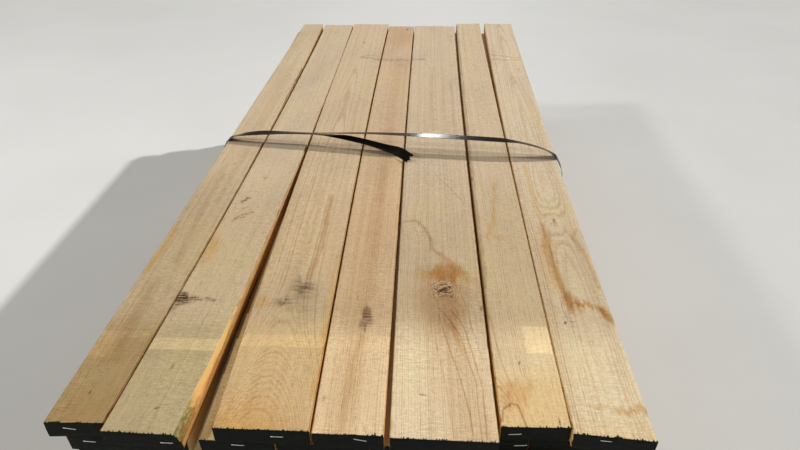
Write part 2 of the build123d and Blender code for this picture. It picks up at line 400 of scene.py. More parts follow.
def bearer_wood():
    """Old rough timber with the log's heart in it, and cracks that run out from the heart."""
    paint = Paint("old_timber", {"Specular IOR Level": 0.15})
    place = paint.place()
    grain = paint.attribute("grain")
    grain_x, grain_y, grain_z = paint.split(grain)
    shiver = paint.noise(grain, (60, 5, 60)) - 0.5
    radius = (grain_x * grain_x + grain_z * grain_z) ** 0.5 + shiver * 0.004 + grain_y * 0.01
    turn = (radius / 0.0042).math("FRACT")
    line = paint.ease(turn, 0, 0.25) * paint.ease(turn, 0.95, 0.4)
    cloud = paint.noise(place, (8, 14, 14), 3)
    paint.colour = paint.mix(paint.ease(cloud, 0.35, 0.7), srgb(150, 128, 98), srgb(118, 104, 86))
    paint.tint(line * 0.6, BROWN)
    angle = grain_x.math("ARCTAN2", grain_z)
    rays = paint.noise(paint.join(angle, radius * 2, grain_y * 3), (3.2, 1, 1))
    crack = paint.ease(rays, 0.645, 0.67) * paint.ease(radius, 0.004, 0.012)
    paint.tint(crack * 0.9, SOOT)
    dirt = paint.ease(paint.noise(place, (40, 90, 90), 4), 0.5, 0.75)
    paint.tint(dirt * 0.5, GREY)
    saw = paint.noise(place, (420, 12, 50)) - 0.5
    fibre = paint.noise(grain, (320, 30, 320), 3) - 0.5
    paint.colour = paint.scaled(paint.colour, 1 + saw * 0.2 + fibre * 0.35)
    return paint.finish(0.9 - line * 0.05, saw * 0.7 + fibre * 0.8 - crack * 3, 0.0006)


def strap_steel():
    """Nearly black blued spring steel with scuffs along it and brown at the edges."""
    paint = Paint("blued_steel", {"Specular IOR Level": 0.01})
    place = paint.place()
    side, run, out = paint.split(paint.attribute("grain"))
    scuff = paint.noise(paint.join(side, run, out), (900, 14, 10), 3)
    cloud = paint.noise(place, (60, 60, 60), 3)
    edge = paint.ease(side.math("ABSOLUTE"), 0.0142, 0.0156)
    paint.colour = paint.mix(cloud, srgb(15, 13, 10), srgb(31, 28, 20))
    paint.cover(paint.ease(scuff, 0.56, 0.72) * 0.2, srgb(64, 62, 60))
    paint.cover(edge * paint.ease(cloud, 0.38, 0.56) * 0.7, srgb(104, 74, 50))
    return paint.finish(0.1 + scuff * 0.1 + edge * 0.25, scuff + cloud * 0.6, 0.00006)


def zinc():
    """Bright staple wire, dulled in places."""
    paint = Paint("staple_wire", {"Metallic": 1})
    cloud = paint.noise(paint.place(), (300, 300, 300))
    paint.colour = paint.mix(cloud, srgb(190, 192, 194), srgb(232, 232, 230))
    return paint.finish(0.28 + cloud * 0.2, cloud, 0.0001)


# Meshes

SHARP_ANGLE = math.radians(35)


def add_object(name, data):
    thing = bpy.data.objects.new(name, data)
    scene.collection.objects.link(thing)
    return thing


def new_piece(name, surface, material):
    """A piece that rides on the stack. Its surface is given as points, faces and attributes."""
    points, faces, attributes = surface
    mesh = bpy.data.meshes.new(name)
    mesh.from_pydata(np.asarray(points).tolist(), [], [list(face) for face in faces])
    for key, values in attributes.items():
        values = np.asarray(values, np.float32)
        is_vector = values.ndim == 2
        layer = mesh.attributes.new(key, "FLOAT_VECTOR" if is_vector else "FLOAT", "POINT")
        layer.data.foreach_set("vector" if is_vector else "value", values.ravel())
    mesh.materials.append(material)
    mesh.shade_smooth()
    mesh.set_sharp_from_angle(angle=SHARP_ANGLE)
    piece = add_object(name, mesh)
    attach(piece, "root")
    return piece


def lattice(*counts):
    """Points on a block's surface, counted in steps along its three axes, and its quads."""
    steps = np.indices([count + 1 for count in counts]).reshape(3, -1).T
    outside = ((steps == 0) | (steps == counts)).any(axis=1)
    index = np.full(len(steps), -1)
    index[outside] = np.arange(outside.sum())
    index = index.reshape([count + 1 for count in counts])
    quads = []
    for axis in range(3):
        for end in (0, -1):
            sheet = np.take(index, end, axis=axis)
            quad = np.stack([sheet[:-1, :-1], sheet[1:, :-1], sheet[1:, 1:], sheet[:-1, 1:]], axis=-1)
            turned = (end == 0) != (axis == 1)
            quads.append(quad.reshape(-1, 4)[:, ::-1] if turned else quad.reshape(-1, 4))
    return steps[outside], np.concatenate(quads)


def spaced(length, step, margin):
    """Places along a length: its ends, one close to each end, and even steps between."""
    inner = np.linspace(margin, length - margin, max(2, round((length - 2 * margin) / step) + 1))
    return np.concatenate([[0], inner, [length]])


def lumps(points, size):
    """Smooth random numbers about 0, which change over a given size along each axis."""
    return np.array([noise.noise(point) for point in (points / size).tolist()])


def mixed(first, second, share):
    return first + (second - first) * share


def unit(rows):
    return rows / np.linalg.norm(rows, axis=1, keepdims=True)


# A board's plan: its corners, how far each long edge bows to the right, and its height
Plan = namedtuple("Plan", "near_left near_right far_left far_right low high bow_left bow_right",
                  defaults=(0, 0))


def node_points(node):
    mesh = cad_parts[node].data
    points = np.zeros(len(mesh.vertices) * 3)
    mesh.vertices.foreach_get("co", points)
    return points.reshape(-1, 3)


def edge_bow(points, near, far):
    """How far the middle of a curved edge lies to the right of its chord."""
    share = (2 * points[:, 1] - near[1] - far[1]) / (far[1] - near[1])
    chord = mixed(near[0], far[0], (share + 1) / 2)
    shape = 1 - share ** 2
    inner = shape > 0.1
    if not inner.any():
        return 0.0
    return float(((points[:, 0] - chord) * shape)[inner].sum() / (shape ** 2)[inner].sum())


def top_board_plan(node):
    points = node_points(node)
    low, high = points[:, 2].min(), points[:, 2].max()
    foot = points[points[:, 2] < low + 0.1 * MM]
    ways = np.array(((-1, -1), (1, -1), (-1, 1), (1, 1)))
    corners = foot[np.argmax(foot[:, :2] @ ways.T, axis=0), :2]
    middle = np.interp(foot[:, 1], [corners[0][1], corners[2][1]],
                       [(corners[0][0] + corners[1][0]) / 2, (corners[2][0] + corners[3][0]) / 2])
    on_left = foot[:, 0] < middle
    bow_left = edge_bow(foot[on_left], corners[0], corners[2])
    bow_right = edge_bow(foot[~on_left], corners[1], corners[3])
    return Plan(*corners, low, high, bow_left, bow_right)


def layer_plans(node):
    """The plans of a lower layer's boards, which are blocks side by side."""
    points = node_points(node)
    low, high = points[:, 2].min(), points[:, 2].max()
    sides = np.unique(points[:, 0].round(5))
    plans = []
    for left, right in zip(sides[0::2], sides[1::2]):
        own = points[abs(points[:, 0] - left) < 0.1 * MM]
        near, far = own[:, 1].min(), own[:, 1].max()
        plans.append(Plan((left, near), (right, near), (left, far), (right, far), low, high))
    return plans


def edge_x(near, far, bow, y):
    share = (2 * y - near[1] - far[1]) / (far[1] - near[1])
    return mixed(near[0], far[0], (share + 1) / 2) + bow * (1 - share ** 2)


# How finely a board is divided, how round its edges are, and how deep they are chipped
Finish = namedtuple("Finish", "across along up arris chips")
# How far apart along one endless log the boards are cut
LOG_STEP = 3.1


def board_mesh(plan, finish, pith, number):
    """The surface of one board. The pith is how far the log's centre lies to the right of the
    board's middle and below its top. The number sets its random shapes."""
    width = plan.near_right[0] - plan.near_left[0]
    length = plan.far_left[1] - plan.near_left[1]
    across = spaced(width, finish.across, finish.arris) / width
    along = spaced(length, finish.along, finish.arris) / length
    up = spaced(plan.high - plan.low, finish.up, finish.arris) / (plan.high - plan.low)
    steps, quads = lattice(len(across) - 1, len(along) - 1, len(up) - 1)
    a, b, c = across[steps[:, 0]], along[steps[:, 1]], up[steps[:, 2]]

    near_y = mixed(plan.near_left[1], plan.near_right[1], a)
    far_y = mixed(plan.far_left[1], plan.far_right[1], a)
    y = mixed(near_y, far_y, b)
    left = edge_x(plan.near_left, plan.far_left, plan.bow_left, y)
    right = edge_x(plan.near_right, plan.far_right, plan.bow_right, y)
    points = np.stack([mixed(left, right, a), y, mixed(plan.low, plan.high, c)], axis=1)

    # Every surface point moves inwards only, most where two faces meet
    inward = np.stack([1.0 * (p == 0) - (p == 1) for p in (a, b, c)], axis=1)
    meets = abs(inward).sum(axis=1) >= 2
    own = points + (0, LOG_STEP * number, 0)
    ragged = np.clip(1 + 1.1 * lumps(own, (0.03, 0.011, 0.03)), 0.1, None)
    chipped = np.clip(lumps(own + (5, 0, 0), (0.06, 0.021, 0.06)) - 0.33, 0, None) * finish.chips
    uneven = (0.5 + 0.5 * lumps(own + (9, 0, 0), (0.08, 0.16, 0.08))) * 0.35 * MM
    pull = np.where(meets, finish.arris * 0.42 * ragged + chipped, uneven)
    points = points + inward * pull[:, None]

    grain = np.stack([points[:, 0] - (left + right) / 2 - pith[0], points[:, 1] + LOG_STEP * number,
                      plan.high - points[:, 2] - pith[1]], axis=1)
    to_end = np.minimum(y - near_y, far_y - y) - uneven * (abs(inward[:, 1]) > 0)
    return points, quads, {"grain": grain, "to_end": to_end, "to_side": np.minimum(a, 1 - a) * width}


def joined(surfaces):
    """Several surfaces as one."""
    points = np.concatenate([s[0] for s in surfaces])
    starts = np.cumsum([0] + [len(s[0]) for s in surfaces])
    faces = [[corner + start for corner in face] for s, start in zip(surfaces, starts) for face in s[1]]
    attributes = {key: np.concatenate([s[2][key] for s in surfaces]) for key in surfaces[0][2]}
    return points, faces, attributes


# The waney corner, at the near end of the second board's right edge
WANE_BOARD = 2
WANE_WIDTH = 13 * MM
WANE_DEPTH = 24 * MM
WANE_LENGTH = 400 * MM


def wane_plane(plan):
    """A point on the wane's sloping plane and the direction out of the board."""
    x, y = plan.near_right
    runout = y + WANE_LENGTH
    inset = Vector((x - WANE_WIDTH, y, plan.high))
    drop = Vector((x, y, plan.high - WANE_DEPTH))
    end = Vector((edge_x(plan.near_right, plan.far_right, plan.bow_right, runout), runout, plan.high))
    return inset, (drop - inset).cross(end - inset).normalized()


def cut_back(points, origin, outward):
    """Moves the points outside a plane on to it, with some unevenness on the inner side."""
    out = (points - np.array(origin)) @ np.array(outward)
    rough = 0.5 * MM * (1 + lumps(points, (0.02, 0.03, 0.02)))
    return points - np.outer(np.where(out > 0, out + rough, 0), outward)


# Strap. In its upright plane the left corner is the origin, the first number runs across
# and the second up. The third is its twist, in degrees: above 0 the near edge is lower.
STRAP_WIDTH = 32 * MM
STRAP_THICKNESS = 0.9 * MM
STRAP_LAP = 1.2 * MM
STRAP_Y_LEFT = -79.5 * MM
STRAP_Y_RIGHT = -177.5 * MM
SIDE_BULGE = 33 * MM
BOTTOM_SAG = 9 * MM
STACK_WIDTH = 1063 * MM
BOARDS_HEIGHT = 520 * MM
# Over the boards: the share of the way across, the rise in millimetres and the twist
ARCH = [(0.025, 17, -16), (0.065, 26, -5), (0.12, 33, -2), (0.19, 36.5, -15), (0.27, 40, -23),
        (0.37, 46, -19), (0.46, 51.5, -16), (0.56, 52.5, -10), (0.65, 53.5, -3), (0.75, 52.5, -2),
        (0.84, 51.5, -2), (0.87, 49, -11), (0.89, 47, -16), (0.935, 37.5, -16), (0.975, 24, -18)]
# Off the sides and under the boards, as shares of the bulge or the way across, then down
SIDE = [(0.8, 0.08), (1, 0.24), (0.92, 0.58), (0.5, 0.85)]
BOTTOM = [(0.8, 0.75), (0.5, 1), (0.2, 0.7)]
# The lower end lies under the upper one over the arch's first points, then drops clear of it
LAP_POINTS = 4
DROP = (0.27, 36.5, -22)
# The loose tail, as x, y, height over the boards and twist
TAIL = [(-205, -109.5, 36, -18), (-170, -116, 35, -8), (-136, -122, 34, 1), (-100, -134, 32, 3),
        (-65, -145, 29, 5), (-30, -155, 24, 8), (0, -165, 19, 17), (25, -173, 16.5, 30),
        (48, -187, 14, 40), (77, -224, 12.6, 46)]
BEND = 7 * MM
# How far the cut end is set back across its width
CUT_END = np.array([2, 0, 5.5, 11, 4, 0.5, 6.5, 9, 2.5]) * MM


def smooth_line(corners, step):
    """Points on the line that runs through the middles of the runs between the corners and
    bends towards each corner."""
    corners = np.array(corners, float)
    middles = (corners[:-1] + corners[1:]) / 2
    starts = [corners[0], *middles[1:]]
    ends = [*middles[1:-1], corners[-1]]
    line = []
    for start, corner, end in zip(starts, corners[1:-1], ends):
        run = np.linalg.norm((corner - start)[:3]) + np.linalg.norm((end - corner)[:3])
        count = max(3, math.ceil(run / step))
        t = np.linspace(0, 1, count, endpoint=False)[:, None]
        line.append((1 - t) ** 2 * start + 2 * t * (1 - t) * corner + t ** 2 * end)
    return np.concatenate([*line, corners[-1:]])


def strap_corners():
    """The strap's control points, as x, y, z and twist, from its upper to its lower end."""
    first, last = top_board_plan("top_board_1"), top_board_plan("top_board_7")
    left = np.array((edge_x(first.near_left, first.far_left, first.bow_left, STRAP_Y_LEFT), STRAP_Y_LEFT))
    right = np.array((edge_x(last.near_right, last.far_right, last.bow_right, STRAP_Y_RIGHT), STRAP_Y_RIGHT))
    span = np.linalg.norm(right - left)
    across = (right - left) / span

    def seat(x, y, outermost):
        beside = [np.array((x, y + side)) for side in (-STRAP_WIDTH / 2, STRAP_WIDTH / 2)]
        return outermost((point - left) @ across for point in beside)

    gap = 1 * MM
    left_top = (seat(*left, min) - gap, gap, 0)
    right_top = (seat(*right, max) + gap, gap, 0)
    right_low = (seat(STACK_WIDTH / 2, STRAP_Y_RIGHT, max) + gap, -BOARDS_HEIGHT - gap, 0)
    left_low = (seat(-STACK_WIDTH / 2, STRAP_Y_LEFT, min) - gap, -BOARDS_HEIGHT - gap, 0)
    arch = [(share * span, rise * MM, twist) for share, rise, twist in ARCH]
    right_side = [(span + out * SIDE_BULGE, -down * BOARDS_HEIGHT, 0) for out, down in SIDE]
    left_side = [(-out * SIDE_BULGE, -down * BOARDS_HEIGHT, 0) for out, down in reversed(SIDE)]
    bottom = [(share * span, -BOARDS_HEIGHT - sag * BOTTOM_SAG, 0) for share, sag in BOTTOM]
    lap = [(place, rise - STRAP_LAP, twist) for place, rise, twist in arch[:LAP_POINTS]]
    drop = (DROP[0] * span, DROP[1] * MM, DROP[2])
    upper_end = tuple((first + second) / 2 for first, second in zip(arch[0], arch[1]))
    path = [upper_end, *arch[1:], right_top, *right_side, right_low, *bottom, left_low, *left_side,
            left_top, *lap, drop]
    tight = [np.array(corner[:2]) for corner in (left_top, right_top, right_low, left_low)]

    bent = []
    for before, here, after in zip([path[0], *path], path, [*path[1:], path[-1]]):
        place = np.array(here[:2])
        if not any(np.allclose(place, corner) for corner in tight):
            bent.append(here)
            continue
        for neighbour in (before, here, after):
            way = np.array(neighbour[:2]) - place
            bent.append((*(place + BEND * way / max(np.linalg.norm(way), MM)), 0))
    in_frame = [(*(left + across * u), DECK + h, twist) for u, h, twist in bent]
    tail = [(x * MM, y * MM, DECK + h * MM, twist) for x, y, h, twist in TAIL]
    return [*in_frame, *tail], np.array((across[1], -across[0], 0))


def strap_mesh():
    corners, near = strap_corners()
    line = smooth_line(corners, 4 * MM)
    centre, twist = line[:, :3], np.radians(line[:, 3:])
    along = unit(np.gradient(centre, axis=0))
    level = unit(near - (along @ near)[:, None] * along)
    width = level * np.cos(twist) + np.cross(along, level) * np.sin(twist)
    upward = np.cross(width, along)
    across_count = len(CUT_END) - 1
    steps, quads = lattice(across_count, len(centre) - 1, 1)
    i, j, k = steps.T
    run = np.concatenate([[0], np.cumsum(np.linalg.norm(np.diff(centre, axis=0), axis=1))])
    to_tip = run[-1] - run[j]
    set_back = CUT_END[i] * np.clip(1 - to_tip / (25 * MM), 0, 1)
    side = (i / across_count - 0.5) * STRAP_WIDTH
    out = (k - 0.5) * STRAP_THICKNESS
    points = centre[j] + width[j] * side[:, None] + upward[j] * out[:, None] - along[j] * set_back[:, None]
    return points, quads, {"grain": np.stack([side, run[j], out], axis=1)}


def tube(path, radius, sides=6):
    """The surface of a wire along a path, closed at its ends."""
    path = np.array(path, float)
    along = unit(np.gradient(path, axis=0))
    side = unit(np.cross(along, (0, 0.3, 1)))
    other = np.cross(side, along)
    angles = np.arange(sides) * 2 * math.pi / sides
    rings = [centre + radius * (np.outer(np.cos(angles), s) + np.outer(np.sin(angles), o))
             for centre, s, o in zip(path, side, other)]
    count = len(path)
    points = np.concatenate([*rings, path[:1], path[-1:]])
    last, first_tip, last_tip = (count - 1) * sides, count * sides, count * sides + 1
    faces = []
    for place in range(sides):
        after = (place + 1) % sides
        for ring in range(0, last, sides):
            faces.append([ring + place, ring + after, ring + sides + after, ring + sides + place])
        faces += [first_tip, after, place], [last_tip, last + place, last + after]
    return points, faces, {}


# Staples in the near ends, as x, how far below the top of the stack, and tilt in degrees
STAPLES = [(-521, 16, -9), (-334, 23, 0), (-137, 18, 0), (15, 13, -12), (294, 20, 6), (455, 11, -4),
           (-495, 54, -4), (-214, 49, -3), (307, 52, 5)]
# How likely a staple is in a near end that the photograph doesn't show, and in a far end
NEAR_CHANCE = 0.6
FAR_CHANCE = 0.2
CROWN = 24 * MM
WIRE = 0.65 * MM


def staple(x, y, z, tilt, facing):
    """One staple's wire, driven into an end that faces along Y."""
    half = CROWN / 2
    right = [(half / 2, 0), (half - 0.8 * MM, 0.2 * MM), (half, 0.9 * MM), (half, 3.3 * MM)]
    path = [*((-u, v) for u, v in reversed(right)), (0, 0.1 * MM), *right]
    turn = math.radians(tilt)
    return tube([(x + u * math.cos(turn), y + facing * v, z + u * math.sin(turn)) for u, v in path], WIRE)


def staples():
    """Every staple, at the places seen in the near ends and here and there in the others."""
    tops = [top_board_plan(f"top_board_{number}") for number in range(1, 8)]
    lower = [plan for layer in range(1, LAYERS + 1) for plan in layer_plans(f"layer_{layer:02d}")]
    shown = len(tops) + len(layer_plans("layer_01"))
    wires = []

    def add(plan, x, z, tilt, facing):
        left, right = (plan.near_left, plan.near_right) if facing > 0 else (plan.far_left, plan.far_right)
        y = mixed(left[1], right[1], (x - left[0]) / (right[0] - left[0]))
        wires.append(staple(x, y, z, tilt, facing))

    for x, below, tilt in STAPLES:
        z = DECK - below * MM
        for plan in tops + lower:
            if plan.near_left[0] < x * MM < plan.near_right[0] and plan.low < z < plan.high:
                add(plan, x * MM, z, tilt, 1)
    for number, plan in enumerate(tops + lower):
        left, right = plan.near_left[0] + 25 * MM, plan.near_right[0] - 25 * MM
        x, z = dice.uniform(left, right), dice.uniform(plan.low + 10 * MM, plan.high - 10 * MM)
        tilt, chance = dice.uniform(-25, 25), dice.uniform()
        if number >= shown and chance < NEAR_CHANCE:
            add(plan, x, z, tilt, 1)
        elif chance > 1 - FAR_CHANCE:
            add(plan, x, z, tilt, -1)
    return joined(wires)


# Stage, camera and light

# The photograph's viewpoint: its place, the lens for a sensor so many millimetres wide, and
# its pitch down, yaw to the right and roll clockwise in degrees
EYE = (0.1225, -1.9245, 1.5401)
LENS = 27.9
SENSOR_WIDTH = 36
EYE_ANGLES = (34.394, -2.718, 0.474)


def add_camera():
    pitch, yaw, roll = (math.radians(angle) for angle in EYE_ANGLES)
    ahead = Vector((math.sin(yaw) * math.cos(pitch), math.cos(yaw) * math.cos(pitch), -math.sin(pitch)))
    right = Vector((math.cos(yaw), -math.sin(yaw), 0))
    down = ahead.cross(right)
    across = right * math.cos(roll) + down * math.sin(roll)
    upward = right * math.sin(roll) - down * math.cos(roll)
    camera = add_object("camera", bpy.data.cameras.new("camera"))
    camera.data.lens = LENS
    camera.data.sensor_width = SENSOR_WIDTH
    turn = Matrix((across, upward, -ahead)).transposed().to_4x4()
    camera.matrix_world = Matrix.Translation(EYE) @ turn
    scene.camera = camera


def add_sun(name, slope_x, slope_y, share, spread):
    """A far lamp towards a direction, given as its slopes from straight up along X and Y. It
    adds a share of full light to a level surface, and looks so many degrees wide."""
    towards = Vector((slope_x, slope_y, 1.0))
    sun = bpy.data.lights.new(name, "SUN")
    sun.energy = math.pi * share * towards.length
    sun.angle = math.radians(spread)
    sun.color = KEY_COLOUR
    add_object(name, sun).rotation_euler = towards.to_track_quat("Z", "Y").to_euler()


def add_panel(name, place, target, width, length, watts):
    """A flat lamp that faces a target. The camera doesn't see it."""
    panel = bpy.data.lights.new(name, "AREA")
    panel.shape = "RECTANGLE"
    panel.size = width
    panel.size_y = length
    panel.energy = watts
    lamp = add_object(name, panel)
    lamp.location = place
    lamp.rotation_euler = (Vector(place) - Vector(target)).to_track_quat("Z", "Y").to_euler()
    lamp.visible_camera = False
    return lamp


# The world's strength and colour as light on the object, and as the backdrop that is seen
FILL = 0.145
BACKDROP = 0.80
FILL_COLOUR = (1.0, 0.94, 0.82, 1.0)
BACKDROP_COLOUR = (1.0, 0.985, 0.96, 1.0)
KEY_COLOUR = (1.0, 1.0, 0.99)
FLOOR_HALF = 120
# The flat lamps, and the place on the strap that gleams in the second one's light
OVERHEAD = (-1.76, 0, DECK + 4)
GLINT = (0.24, 9, 3.3)
GLEAM = (0.14, -0.13, 0.66)


def add_stage():
    paint = Paint("floor_paint", {"Specular IOR Level": 0.2})
    place = paint.place()
    cloud = paint.noise(place, (1.6, 1.6, 1.6), 4)
    fine = paint.noise(place, (70, 70, 70), 3)
    paint.colour = paint.mix(cloud, srgb(214, 214, 212), srgb(226, 226, 224))
    material = paint.finish(0.75 + cloud * 0.1, fine, 0.0004)
    mesh = bpy.data.meshes.new("floor")
    corners = [(x * FLOOR_HALF, y * FLOOR_HALF, 0) for x, y in ((-1, -1), (1, -1), (1, 1), (-1, 1))]
    mesh.from_pydata(corners, [], [(0, 1, 2, 3)])
    mesh.materials.append(material)
    floor = add_object("floor", mesh)

    world = bpy.data.worlds.new("studio")
    scene.world = world
    world.use_nodes = True
    tree = world.node_tree
    path = tree.nodes.new("ShaderNodeLightPath")
    rays = [Wire(tree, path.outputs[f"Is {ray} Ray"]) for ray in ("Camera", "Glossy", "Transmission")]
    seen = (rays[0] + rays[1] + rays[2]).math("MINIMUM", 1.0)
    tint = tree.nodes.new("ShaderNodeMix")
    tint.data_type = "RGBA"
    plug(tree, tint.inputs[0], seen)
    plug(tree, tint.inputs[6], FILL_COLOUR)
    plug(tree, tint.inputs[7], BACKDROP_COLOUR)
    background = tree.nodes["Background"]
    plug(tree, background.inputs["Color"], Wire(tree, tint.outputs[2]))
    plug(tree, background.inputs["Strength"], seen * (BACKDROP - FILL) + FILL)
    add_sun("key", slope_x=1.5, slope_y=0.55, share=0.46, spread=1.6)
    add_sun("second", slope_x=-1.45, slope_y=-0.75, share=0.12, spread=5)
    add_panel("overhead", OVERHEAD, (0, 0, DECK), width=0.5, length=9, watts=92)
    glint = add_panel("glint", GLINT, GLEAM, width=1.1, length=0.8, watts=400)
    glint.visible_diffuse = False
    scene.view_settings.view_transform = "Standard"


add_camera()
add_stage()

# Top boards
TOP_FINISH = Finish(across=9 * MM, along=9 * MM, up=9 * MM, arris=1.6 * MM, chips=9 * MM)
# The right edge of the first board
RIGHT_EDGE = ((-454, -1240), (-440, -919), (-428, -612), (-419, -306), (-411, 0), (-407, 600))
look_1 = Look((201, 180, 149), (0.8, 0.74, 0.57), (-115, -60), 3.2, 0.8, (), (
    Line(BROWN, 0.4, ((-494, -250), (-492, -360), (-494, -480), (-486, -640), (-486, -740)), 18),
    Line(BROWN, 0.5, ((-504, -830), (-510, -950), (-505, -1060)), 34, 0.9),
    Line(HONEY, 0.9, ((-534, -600), (-536, -700), (-545, -790)), 14),
    Line(PALE, 0.2, ((-553, -760), (-556, -900), (-558, -1060)), 10, 0.6),
    Line(SHADE, 0.95, RIGHT_EDGE, 5, 0.4),
    # Partly the first board's own tone and partly painted shade: a grey band darkens its near part
    Band(GREY, 0.34, -570, -440, -1300, -330, 120),
    Band(PALE, 0.7, -562, -512, -1062, -986, 4),
    Band(PALE, 0.55, -512, -455, -1004, -986, 3),
    Band(HEART, 0.5, -570, -450, -1260, -1150, 50),
    Blot(SOOT, 0.7, -472, -247, 7, 2.5, 0.6, 20),
    Blot(SOOT, 0.7, -511, -1152, 2, 7),
))
look_2 = Look((201, 180, 151), (0.9, 0.93, 0.84), (150, -80), 3.4, 0.5, (), (
    Blot(SOOT, 0.95, -384, -456, 14, 6, 0.6, 35),
    Blot(SOOT, 0.6, -380, -500, 5, 3, 0.6, 20),
    Line(STAIN, 0.95, ((-391, -550), (-377, -533), (-349, -516)), 6),
    Line(STAIN, 0.8, ((-397, -565), (-381, -549), (-366, -541)), 5),
    Blot(GREY, 0.7, -355, -333, 5, 9, 0.6, -20),
    Blot(HONEY, 0.95, -415, -688, 18, 62, 0.7, 2),
    Blot(SOOT, 0.95, -430, -886, 13, 25),
    Blot(SOOT, 0.85, -418, -878, 24, 13, 0.8, -10),
    Line(SOOT, 0.9, ((-425, -876), (-395, -877), (-350, -880)), 9),
    Band(PALE, 1, -460, -300, -1036, -1004, 3),
    Band(GREY, 0.12, -460, -300, -1062, -1040, 8),
    Band(GREY, 0.12, -460, -300, -1000, -960, 8),
    Blot(SOOT, 0.6, -375, -1080, 2, 7),
    Blot(SOOT, 0.7, -370, -1187, 7, 2, 0.6, 40),
))
look_3 = Look((202, 179, 148), (1.17, 1.1, 0.97), (-8, -100), 3, 0.7,
              (Bulge(-50, -172, -1290, 400, 230),), (
    Line(BROWN, 0.85, ((-141, -430), (-140, -533), (-137, -648), (-143, -718), (-147, -796)), 15),
    Blot(GREY, 0.95, -152, -838, 32, 34, 0.7),
    Blot(SOOT, 0.65, -156, -826, 21, 17, 0.8),
    Blot(GREY, 0.95, -190, -886, 26, 16, 0.7, 10),
    Blot(SOOT, 0.55, -188, -884, 12, 9, 0.8, 10),
    Blot(GREY, 0.55, -135, -895, 36, 34, 0.8),
    Blot(GREY, 0.3, -170, -945, 44, 14, 0.8),
    Band(PALE, 0.3, -275, -70, -800, -300, 80),
    Blot(HONEY, 0.9, -240, -886, 16, 20),
    Blot(HONEY, 0.95, -215, -1245, 90, 75, 0.8),
    Line(HONEY, 0.7, ((-86, -690), (-92, -800), (-86, -900), (-82, -1150)), 12),
    Line(RUST, 0.25, ((-128, 275), (-106, 252), (-86, 240)), 9, 0.9),
    Line(GREY, 0.95, ((-168, 734), (-120, 720), (-80, 698)), 16, 0.6),
    Line(GREY, 0.5, ((-160, 762), (-100, 752)), 14),
    Blot(SOOT, 0.45, -172, 926, 5, 10, 0.7),
    Band(PALE, 0.6, -262, -70, -1020, -986, 5),
))
look_4 = Look((203, 176, 144), (1.43, 1.5, 1.54), (90, -50), 3.1, 0.8, (), (
    Line(HEART, 0.7, ((-22, -1225), (-12, -900), (-6, -500), (-2, 0)), 46),
    Line(HEART, 0.5, ((-2, 0), (0, 700)), 44, 0.9),
    Line(BROWN, 0.4, ((-18, -1215), (-16, -1060), (-8, -980)), 14, 0.9),
    Line(BROWN, 0.3, ((-6, -250), (-8, -450)), 16, 0.9),
    Blot(GREY, 1, 0, -930, 15, 34, 0.3),
    Blot(SOOT, 0.75, 0, -930, 12, 30, 0.5),
    Blot(SOOT, 0.45, -60, -1152, 4, 7),
    Band(HEART, 0.55, -90, 60, 930, 1300, 80),
    Band(HONEY, 0.2, -90, 60, 850, 1300, 80),
    Blot(SOOT, 0.85, 22, 1135, 6, 15),
    Blot(SOOT, 0.45, 38, 1045, 4, 12),
    Line(GREY, 0.65, ((-60, 700), (40, 700)), 26),
    Band(PALE, 0.2, -80, 60, -1020, -986, 5),
    Band(PALE, 0.4, -90, 70, -850, -300, 80),
))
# Dark lines that run out from the knot of the fifth board, each with its share
SWIRL = (
    (0.95, ((147, -883), (164, -897), (185, -936), (204, -978), (212, -1024), (229, -1108))),
    (0.9, ((184, -896), (204, -930), (214, -962), (226, -1028), (240, -1120), (240, -1229))),
    (0.8, ((158, -909), (169, -969), (183, -1030), (195, -1077), (212, -1168), (216, -1222))),
    (0.8, ((229, -1108), (229, -1151), (231, -1233))),
    (0.7, ((213, -850), (218, -881), (228, -950), (244, -1040))),
)
look_5 = Look((204, 183, 155), (1.43, 1.49, 1.55), (-130, -70), 3.3, 0.9,
              (Bulge(30, 172, -830, 52, 70), Bulge(8, 100, -540, 40, 60)), (
    Blot(BROWN, 0.6, 172, -850, 78, 90, 0.7),
    Blot(RUST, 0.85, 176, -762, 42, 34, 0.4, -15),
    Line(RUST, 0.6, ((166, -703), (192, -724), (214, -765)), 22, 0.7),
    Line(HONEY, 0.8, ((118, -775), (160, -772), (214, -786)), 36),
    Line(BROWN, 0.85, ((66, -558), (98, -542), (123, -578), (139, -626), (143, -672), (166, -696)), 9),
    Line(HEART, 0.75, ((155, -880), (190, -1060), (215, -1240)), 80, 0.6),
    Blot(BROWN, 0.55, 190, -905, 26, 60, 0.8, -15),
    *(Line(BROWN, share, points, 3, 0.6) for share, points in SWIRL),
    Line(BROWN, 0.65, ((146, -900), (150, -990), (170, -1110), (182, -1230)), 2.5, 0.6),
    Line(RUST, 0.55, ((185, -941), (198, -994), (208, -1022)), 12),
    Line(GREY, 0.5, ((150, -290), (188, -360), (232, -452)), 5),
    Line(BROWN, 0.35, ((148, 20), (143, 250), (143, 610)), 22, 0.9),
    Line(BROWN, 0.3, ((216, 60), (222, 280), (214, 460)), 9, 0.9),
    Blot(SOOT, 0.75, 125, -1134, 8, 2, 0.6, -5),
    Blot(SOOT, 0.6, 252, -888, 3, 8),
    Blot(RUST, 0.35, 228, 640, 10, 14, 0.7),
    Blot(RUST, 0.3, 230, 1040, 12, 10, 0.7),
    Line(GREY, 1, ((52, 712), (103, 711)), 17, 0.4),
))
